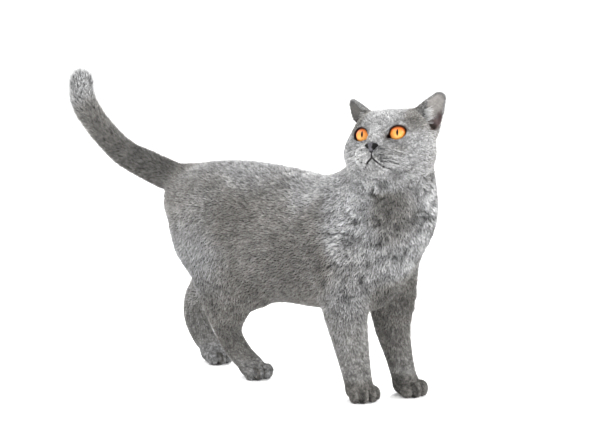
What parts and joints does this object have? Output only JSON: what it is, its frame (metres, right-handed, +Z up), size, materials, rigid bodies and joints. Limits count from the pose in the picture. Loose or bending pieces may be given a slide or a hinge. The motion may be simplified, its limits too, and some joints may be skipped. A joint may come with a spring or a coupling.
{
  "type": "shorthair cat",
  "caption": "Life-size British Shorthair cat standing on all fours, round head turned to its right, small rounded ears, full chest, thick legs and raised tail.",
  "frame": {"origin": "on the floor, under the centre of the whole cat's bounding box", "axes": "+X the way the body faces, +Y the cat's left, +Z up"},
  "size_m": [0.619, 0.1678, 0.3966],
  "materials": {
    "fur": "short dense plush coat, matte",
    "eye": "wet, clear and glossy",
    "nose_leather": "finely grained, damp"
  },
  "bodies": {
    "root": {"torso": "fur", "neck": "fur", "head": "fur", "ear_right": "fur", "ear_left": "fur", "eye_right": "eye", "eye_left": "eye", "nose": "nose_leather", "tail_root": "fur", "tail_middle": "fur", "tail_tip": "fur", "foreleg_right": "fur", "foreleg_left": "fur", "forepaw_right": "fur", "forepaw_left": "fur", "thigh_right": "fur", "thigh_left": "fur", "hind_leg_right": "fur", "hind_leg_left": "fur", "hind_paw_right": "fur", "hind_paw_left": "fur"}
  },
  "joints": []
}
